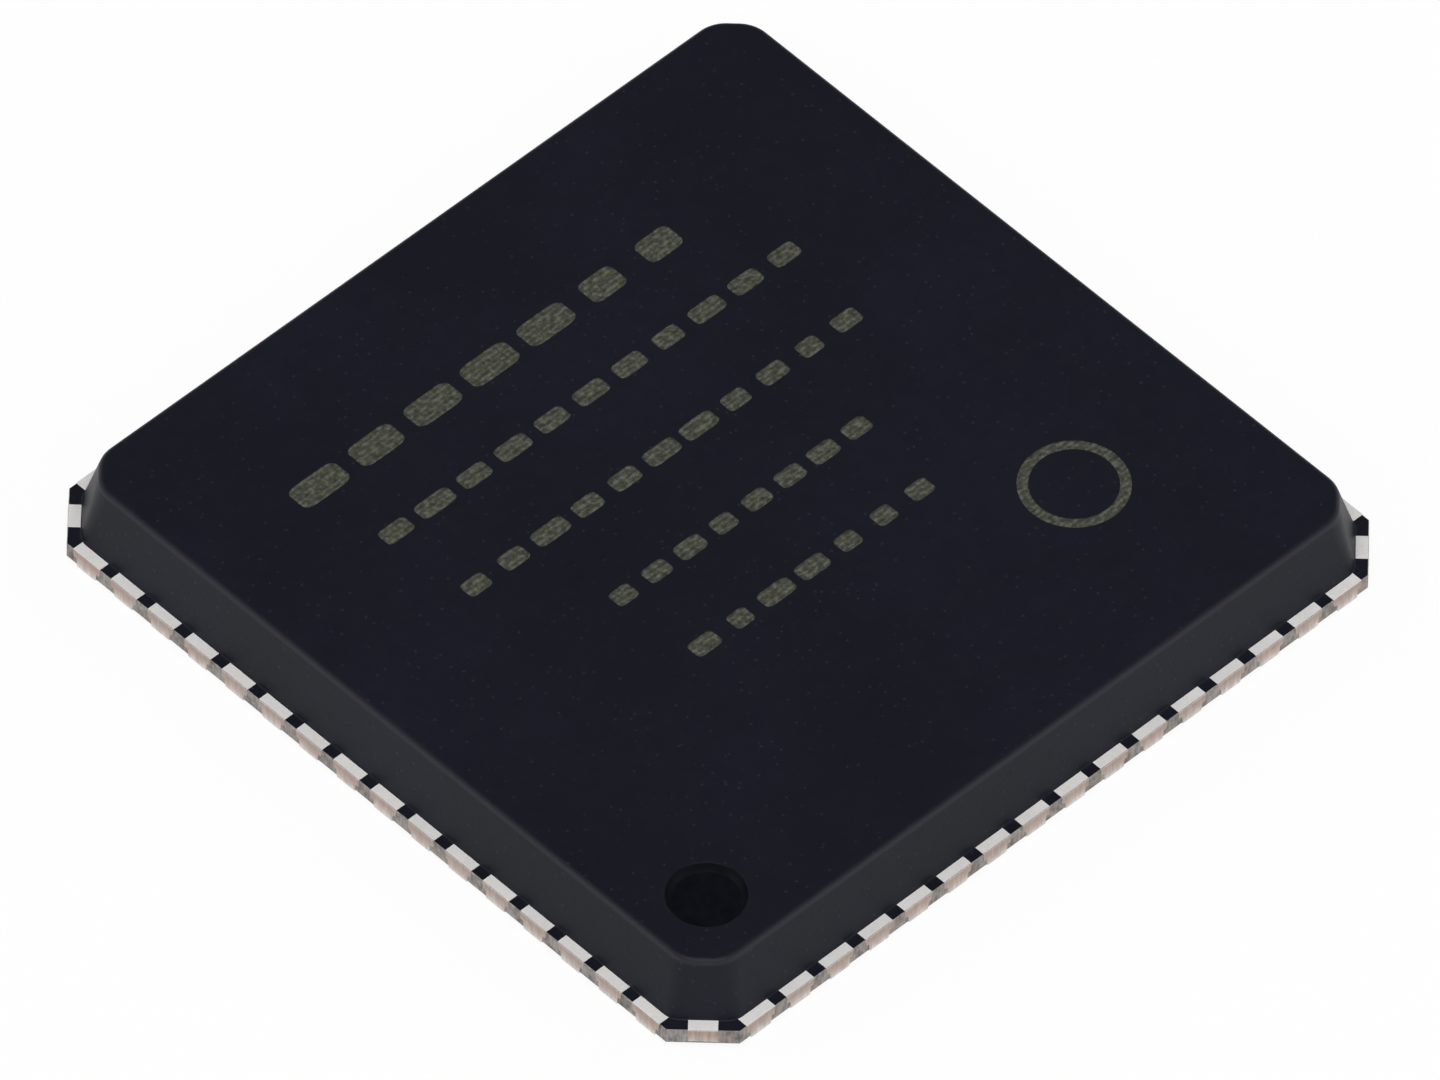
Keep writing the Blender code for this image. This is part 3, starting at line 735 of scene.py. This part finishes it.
def terminal_form(sizes, trim):
    """One etched terminal, its outer end at y = 0 and +Y into the package.

    trim is -1 or 1 for the terminal that is cut back beside the tie bar on that side, and else 0.
    """
    solid = bmesh.new()
    levels = (
        (sizes.land_width, sizes.land_length, 0.0),
        (sizes.land_width + 2 * sizes.lean, sizes.land_length + sizes.lean, sizes.step_height),
        (sizes.top_width - 2 * sizes.lean, sizes.land_length + sizes.tip_reach - sizes.lean,
         sizes.step_height),
        (sizes.top_width, sizes.land_length + sizes.tip_reach, LEADFRAME_TOP),
    )
    rows = [[solid.verts.new(p) for p in terminal_outline(*level)] for level in levels]
    for lower, upper in zip(rows, rows[1:]):
        for index in range(len(lower) - 1):
            solid.faces.new((lower[index], lower[index + 1], upper[index + 1], upper[index]))
    solid.faces.new(reversed(rows[0]))
    solid.faces.new(rows[-1])
    solid.faces.new([row[-1] for row in rows] + [row[0] for row in reversed(rows)])
    if trim:
        reach = (sizes.per_side - 1) / 2 * sizes.pitch
        away = Vector((-trim, -1.0, 0.0)).normalized()
        origin = Vector((trim * reach, -PACKAGE_HALF, 0.0))
        start = away * (sizes.corner_gap - away.dot(origin))
        everything = solid.verts[:] + solid.edges[:] + solid.faces[:]
        found = bmesh.ops.bisect_plane(solid, geom=everything, plane_co=start, plane_no=away,
                                       clear_inner=True)
        rim = [item for item in found["geom_cut"] if isinstance(item, bmesh.types.BMEdge)]
        bmesh.ops.edgeloop_fill(solid, edges=rim)
    bmesh.ops.recalc_face_normals(solid, faces=solid.faces)
    wear(solid, sizes.burr)
    cut_end = solid.faces.layers.bool.new("cut_end")
    for face in solid.faces:
        face[cut_end] = face.normal.y < END_FACING
    return add_object("terminal_form", solid, [matte_tin])


# The terminals of a row: those between its ends, and the two cut back beside the tie bars.
TERMINAL_KINDS = {"Middle": 0, "First": -1, "Last": 1}


def lay_terminals(tree, given):
    """Four rows of terminals, with a trimmed one at both ends of each."""
    parts = []
    for kind in TERMINAL_KINDS:
        line = add_node(tree, "GeometryNodeMeshLine", {
            "Count": given[kind + " Count"], "Start Location": given[kind + " Start"],
            "Offset": given["Step"]})
        form = add_node(tree, "GeometryNodeObjectInfo", {"Object": given[kind]}).outputs["Geometry"]
        parts.append(add_node(tree, "GeometryNodeInstanceOnPoints", {"Points": line, "Instance": form}))
    tinned = add_node(tree, "GeometryNodeSetMaterial",
                      {"Geometry": around(tree, parts), "Material": given["Plate"]})
    end_faces = add_node(tree, "GeometryNodeInputNamedAttribute", {"Name": "cut_end"}, data_type="BOOLEAN")
    return add_node(tree, "GeometryNodeSetMaterial",
                    {"Geometry": tinned, "Selection": end_faces, "Material": given["Cut End"]})


class CHIP_OT_terminals(bpy.types.Operator):
    """Makes the rows of etched, tin-plated terminals with their punched copper ends"""
    bl_idname = "chip.terminals"
    bl_label = "Terminals"

    def execute(self, context):
        sizes = context.scene.chip_terminals
        reach = (sizes.per_side - 1) / 2 * sizes.pitch
        values = {"Step": (sizes.pitch, 0.0, 0.0), "Plate": chip_material(matte_tin),
                  "Cut End": chip_material(cut_copper)}
        for kind, trim in TERMINAL_KINDS.items():
            values[kind] = terminal_form(sizes, trim)
            values[kind + " Count"] = 1 if trim else sizes.per_side - 2
            start = trim * reach if trim else sizes.pitch - reach
            values[kind + " Start"] = (start, -PACKAGE_HALF, 0.0)
        terminals = grow("terminals", lay_terminals, values)
        for kind in TERMINAL_KINDS:
            remove_object(values[kind])
        finish_mesh(terminals.data, METAL_SMOOTH)
        modelled = [name for name in NODES if name.startswith("terminal_")]
        keep_piece(terminals, modelled)
        return {"FINISHED"}


# A wire runs on a cubic curve from its ball to its stitch. The curve's second point lies over the ball
# and its third over the line between the ends, at these heights of the loop and this share of the way.
ROUTE = ("Ball", "Rise", "Crest", "Stitch")
LOOP_RISE = 1.45
LOOP_CREST = 1.7
CREST_PLACE = 0.44
WIRE_STEPS = 16
WIRE_SIDES = 8
# In degrees, more than the turn between two of a wire's sides.
WIRE_SMOOTH = 50.0
BALL_SIDES = 14


def lay_wires(tree, given):
    """Four fans of bond wires, each wire with its squashed ball on the die. The points of the curve step
    along the row from wire to wire."""
    line = add_node(tree, "GeometryNodeCurvePrimitiveLine")
    fine = add_node(tree, "GeometryNodeResampleCurve", {"Curve": line, "Count": WIRE_STEPS})
    copies = add_node(tree, "GeometryNodeDuplicateElements",
                      {"Geometry": fine, "Amount": given["Per Side"]}, domain="SPLINE")
    rank = copies.outputs["Duplicate Index"]
    points = [add_node(tree, "ShaderNodeVectorMath", {0: rank, 1: given[name + " Step"], 2: given[name]},
                       operation="MULTIPLY_ADD") for name in ROUTE]
    share = add_node(tree, "GeometryNodeSplineParameter").outputs["Factor"]
    while len(points) > 1:
        points = [add_node(tree, "ShaderNodeMix", {0: share, 4: first, 5: second},
                           data_type="VECTOR").outputs[1] for first, second in zip(points, points[1:])]
    curves = add_node(tree, "GeometryNodeSetPosition", {"Geometry": copies, "Position": points[0]})
    section = add_node(tree, "GeometryNodeCurvePrimitiveCircle",
                       {"Resolution": WIRE_SIDES, "Radius": given["Radius"]})
    wires = add_node(tree, "GeometryNodeCurveToMesh",
                     {"Curve": curves, "Profile Curve": section, "Fill Caps": True})
    places = add_node(tree, "GeometryNodeMeshLine", {
        "Count": given["Per Side"], "Start Location": given["Ball"], "Offset": given["Ball Step"]})
    squashed = add_node(tree, "GeometryNodeMeshCone", {
        "Vertices": BALL_SIDES, "Radius Top": given["Radius"], "Radius Bottom": given["Ball Radius"],
        "Depth": given["Ball Height"]})
    balls = add_node(tree, "GeometryNodeInstanceOnPoints", {"Points": places, "Instance": squashed})
    return add_node(tree, "GeometryNodeSetMaterial",
                    {"Geometry": around(tree, (wires, balls)), "Material": given["Finish"]})


class CHIP_OT_wires(bpy.types.Operator):
    """Makes the gold bond wires between the die and the terminals, inside the resin"""
    bl_idname = "chip.wires"
    bl_label = "Bond Wires"

    def execute(self, context):
        sizes = context.scene.chip_wires
        terminals = context.scene.chip_terminals
        tip = PACKAGE_HALF - terminals.land_length - terminals.tip_reach
        gaps = terminals.per_side - 1
        ball = Vector((sizes.row_margin - DIE_HALF, sizes.edge_inset - DIE_HALF, DIE_TOP))
        stitch = Vector((-gaps / 2 * terminals.pitch, -tip - sizes.stitch_inset, LEADFRAME_TOP))
        ball_step, stitch_step = (Vector((-2 * end.x / gaps, 0.0, 0.0)) for end in (ball, stitch))
        loop = Vector((0.0, 0.0, sizes.loop_height))
        crest = ball.lerp(Vector((stitch.x, stitch.y, DIE_TOP)), CREST_PLACE) + loop * LOOP_CREST
        starts = (ball, ball + loop * LOOP_RISE, crest, stitch)
        steps = (ball_step, ball_step, ball_step.lerp(stitch_step, CREST_PLACE), stitch_step)
        values = {
            "Per Side": terminals.per_side, "Radius": sizes.diameter / 2,
            "Ball Radius": sizes.ball_diameter / 2, "Ball Height": sizes.ball_height,
            "Finish": chip_material(drawn_gold)}
        for name, start, step in zip(ROUTE, starts, steps):
            values[name] = tuple(start)
            values[name + " Step"] = tuple(step)
        wires = grow("bond_wires", lay_wires, values)
        finish_mesh(wires.data, WIRE_SMOOTH)
        keep_piece(wires)
        return {"FINISHED"}


class CHIP_OT_metals(bpy.types.Operator):
    """Finishes the exposed pad with its tie bars, the die and the adhesive under it"""
    bl_idname = "chip.metals"
    bl_label = "Pad and Die"

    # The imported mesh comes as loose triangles: corners this close are joined, and faces that meet at
    # less than this angle become one.
    WELD = 0.0000001
    FLAT_ANGLE = math.radians(1)

    def execute(self, context):
        solid = bmesh.new()
        solid.from_mesh(NODES["die_paddle"].data)
        bmesh.ops.remove_doubles(solid, verts=solid.verts, dist=self.WELD)
        bmesh.ops.dissolve_limit(solid, angle_limit=self.FLAT_ANGLE, verts=solid.verts, edges=solid.edges)
        worn = context.scene.chip_terminals.burr
        wear(solid, worn)
        for face in solid.faces:
            middle = face.calc_center_median()
            punched = abs(middle.x) + abs(middle.y) > (CORNER_REACH - worn / 4) * math.sqrt(2)
            face.material_index = 1 if punched else 0
        paddle = add_object("exposed_paddle", solid, [matte_tin, cut_copper])
        finish_mesh(paddle.data, METAL_SMOOTH)
        keep_piece(paddle, ["die_paddle"])
        for name, maker in (("die", passivated_silicon), ("die_attach", silver_adhesive)):
            for slot in NODES[name].material_slots:
                slot.material = chip_material(maker)
        return {"FINISHED"}


def add_lamp(name, place, size, strength):
    """A soft square lamp that looks at the chip; strength is its brightness, where 1 is white."""
    data = bpy.data.lights.new(name, "AREA")
    data.shape = "SQUARE"
    data.size = size
    data.energy = strength * math.pi * size * size
    lamp = new_object(name, data)
    lamp.matrix_world = Matrix.Translation(place) @ place.to_track_quat("Z", "Y").to_matrix().to_4x4()


def toward(azimuth, elevation):
    """Unit vector towards a place on the sky, in degrees, with azimuth 0 on -Y and 90 on +X."""
    a, e = math.radians(azimuth), math.radians(elevation)
    return Vector((math.sin(a) * math.cos(e), -math.cos(a) * math.cos(e), math.sin(e)))


class CHIP_OT_stage(bpy.types.Operator):
    """Makes the pale floor, the plain backdrop, the soft lamps and the camera"""
    bl_idname = "chip.stage"
    bl_label = "Stage"

    # Middle to corner of the three-cornered floor, and its depth below the lands.
    FLOOR_REACH = 1.2
    FLOOR_GAP = 0.00003
    # A ray that meets the floor within this length comes from the underside.
    UNDERSIDE_REACH = 0.0003
    # Share of plain white in the floor as it is seen; the rest takes light and shadow.
    FLOOR_GLOW = 0.92
    # Brightness of the sky as a light.
    SKY_FILL = 0.26
    # How far the camera's axis passes the origin, to the right and up in the picture.
    CAMERA_SHIFT = (0.000018, 0.000052)
    LAMP_DISTANCE = 0.5
    # Azimuth, elevation, size and brightness of each lamp.
    LAMPS = (
        ("overhead_lamp", -45, 66, 0.5, 2.35),
        ("left_lamp", -118, 24, 0.32, 1.1),
        ("right_lamp", 28, 24, 0.32, 1.1),
        ("rear_left_lamp", -170, 35, 0.32, 1.1),
        ("rear_right_lamp", 80, 35, 0.32, 1.1),
    )

    def floor(self, shade):
        """One triangle just clear of the lands. The camera sees it white, also in a gloss, and close under
        the chip it is as bright, so that the underside has light. From below it is clear."""
        solid = bmesh.new()
        drop = Vector((0.0, 0.0, -self.FLOOR_GAP))
        corners = [toward(azimuth, 0) * self.FLOOR_REACH + drop for azimuth in (0, 120, 240)]
        solid.faces.new([solid.verts.new(corner) for corner in corners])
        mesh = bpy.data.meshes.new("floor")
        solid.to_mesh(mesh)
        solid.free()
        floor = new_object("floor", mesh)
        material = bpy.data.materials.new("pale_floor")
        material.use_nodes = True
        tree = material.node_tree
        tree.nodes.clear()
        lit = add_node(tree, "ShaderNodeBsdfDiffuse", {"Color": shade})
        bright = add_node(tree, "ShaderNodeEmission", {"Color": shade})
        plain = add_node(tree, "ShaderNodeMixShader", {0: self.FLOOR_GLOW, 1: lit, 2: bright})
        path = add_node(tree, "ShaderNodeLightPath").outputs
        white = add_node(tree, "ShaderNodeMath", {0: path["Ray Length"], 1: self.UNDERSIDE_REACH},
                         operation="LESS_THAN")
        for ray in ("Is Camera Ray", "Is Glossy Ray", "Is Transmission Ray"):
            white = add_node(tree, "ShaderNodeMath", {0: white, 1: path[ray]}, operation="MAXIMUM")
        above = add_node(tree, "ShaderNodeMixShader", {0: white, 1: lit, 2: plain})
        back = add_node(tree, "ShaderNodeNewGeometry").outputs["Backfacing"]
        below = add_node(tree, "ShaderNodeMath", {0: path["Is Camera Ray"], 1: back},
                         operation="MULTIPLY")
        clear = add_node(tree, "ShaderNodeBsdfTransparent")
        both = add_node(tree, "ShaderNodeMixShader", {0: below, 1: above, 2: clear})
        add_node(tree, "ShaderNodeOutputMaterial", {"Surface": both})
        mesh.materials.append(material)

    def backdrop(self, shade):
        """White to the camera and near the horizon in a gloss, and a plain grey sky as light."""
        world = bpy.data.worlds.new("studio")
        bpy.context.scene.world = world
        world.use_nodes = True
        tree = world.node_tree
        tree.nodes.clear()
        path = add_node(tree, "ShaderNodeLightPath").outputs
        sky = add_node(tree, "ShaderNodeTexCoord").outputs["Generated"]
        height = add_node(tree, "ShaderNodeSeparateXYZ", {0: sky}).outputs["Z"]
        dome = add_node(tree, "ShaderNodeValToRGB", {"Fac": height},
                        ((0.0, shade), (0.1, shade), (0.35, linear("#4A4B50"))))
        gloss = add_node(tree, "ShaderNodeBackground", {"Color": dome})
        plain = add_node(tree, "ShaderNodeBackground", {"Color": shade})
        fill = add_node(tree, "ShaderNodeBackground", {"Color": shade, "Strength": self.SKY_FILL})
        through = add_node(tree, "ShaderNodeMath",
                           {0: path["Is Camera Ray"], 1: path["Is Transmission Ray"]}, operation="MAXIMUM")
        some = add_node(tree, "ShaderNodeMixShader", {0: path["Is Glossy Ray"], 1: fill, 2: gloss})
        both = add_node(tree, "ShaderNodeMixShader", {0: through, 1: some, 2: plain})
        add_node(tree, "ShaderNodeOutputWorld", {"Surface": both})

    def camera(self, settings):
        """The camera, whose own axes point right and up in the picture and back to where it stands."""
        back = toward(math.degrees(settings.azimuth), math.degrees(settings.elevation))
        level = Vector((0.0, 0.0, 1.0)).cross(back).normalized()
        up = back.cross(level)
        turn = settings.roll
        right = level * math.cos(turn) + up * math.sin(turn)
        top = up * math.cos(turn) - level * math.sin(turn)
        place = right * self.CAMERA_SHIFT[0] + top * self.CAMERA_SHIFT[1] + back * settings.distance
        data = bpy.data.cameras.new("camera")
        data.lens = settings.lens
        data.sensor_width = 36.0
        data.clip_start = 0.01
        data.clip_end = 10.0
        camera = new_object("camera", data)
        axes = Matrix((right, top, back)).transposed().to_4x4()
        camera.matrix_world = Matrix.Translation(place) @ axes
        bpy.context.scene.camera = camera

    def execute(self, context):
        settings = context.scene.chip_stage
        shade = opaque(settings.floor)
        self.floor(shade)
        self.backdrop(shade)
        for name, azimuth, elevation, size, strength in self.LAMPS:
            add_lamp(name, toward(azimuth, elevation) * self.LAMP_DISTANCE, size, strength)
        self.camera(settings)
        context.scene.view_settings.view_transform = "Standard"
        return {"FINISHED"}


class CHIP_PT_panel(bpy.types.Panel):
    """Lists the chip's pieces and their sizes"""
    bl_idname = "CHIP_PT_panel"
    bl_label = "Controller Chip"
    bl_space_type = "VIEW_3D"
    bl_region_type = "UI"
    bl_category = "Chip"

    def draw(self, context):
        for name, group in SETTINGS.items():
            box = self.layout.box()
            for key in group.__annotations__:
                box.prop(getattr(context.scene, name), key)
        for operator in OPERATORS:
            self.layout.operator(operator.bl_idname)


OPERATORS = (CHIP_OT_body, CHIP_OT_terminals, CHIP_OT_wires, CHIP_OT_metals, CHIP_OT_stage)
CLASSES = tuple(SETTINGS.values()) + OPERATORS + (CHIP_PT_panel,)


def register():
    for item in CLASSES:
        bpy.utils.register_class(item)
    for name, group in SETTINGS.items():
        setattr(bpy.types.Scene, name, PointerProperty(type=group))


def unregister():
    for name in SETTINGS:
        delattr(bpy.types.Scene, name)
    for item in reversed(CLASSES):
        bpy.utils.unregister_class(item)


def main():
    register()
    bpy.ops.chip.body()
    bpy.ops.chip.terminals()
    bpy.ops.chip.wires()
    bpy.ops.chip.metals()
    bpy.ops.chip.stage()


if __name__ == "__main__":
    main()
